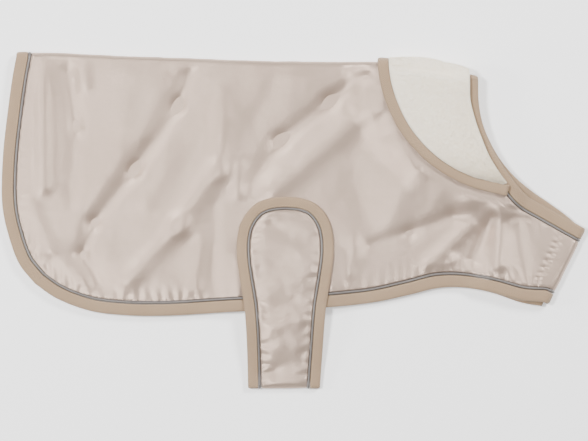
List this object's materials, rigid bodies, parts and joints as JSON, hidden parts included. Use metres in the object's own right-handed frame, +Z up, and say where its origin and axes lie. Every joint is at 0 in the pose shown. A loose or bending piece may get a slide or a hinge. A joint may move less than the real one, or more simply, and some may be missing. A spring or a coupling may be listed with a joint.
{
  "type": "dog raincoat",
  "caption": "Dog coat laid flat, folded along its spine: satin shell with bound and piped edges, turned-down plush collar and a belly strap with a rounded tip.",
  "frame": {"origin": "centre of the underside of the laid coat's box, on the surface it lies on", "axes": "+X along the spine towards the neck, +Y across the coat towards the spine fold, +Z up from the surface"},
  "size_m": [0.5996, 0.3462, 0.029],
  "materials": {
    "satin": "champagne satin with a soft sheen",
    "tape": "tan herringbone tape, matt",
    "cord": "grey reflective piping",
    "plush": "cream plush pile"
  },
  "bodies": {
    "root": {"body_shell": "satin", "edge_binding": "tape", "edge_piping": "cord", "plush_collar": "plush", "collar_binding": "tape", "belly_strap": "satin", "strap_binding": "tape", "strap_piping": "cord"}
  },
  "joints": []
}
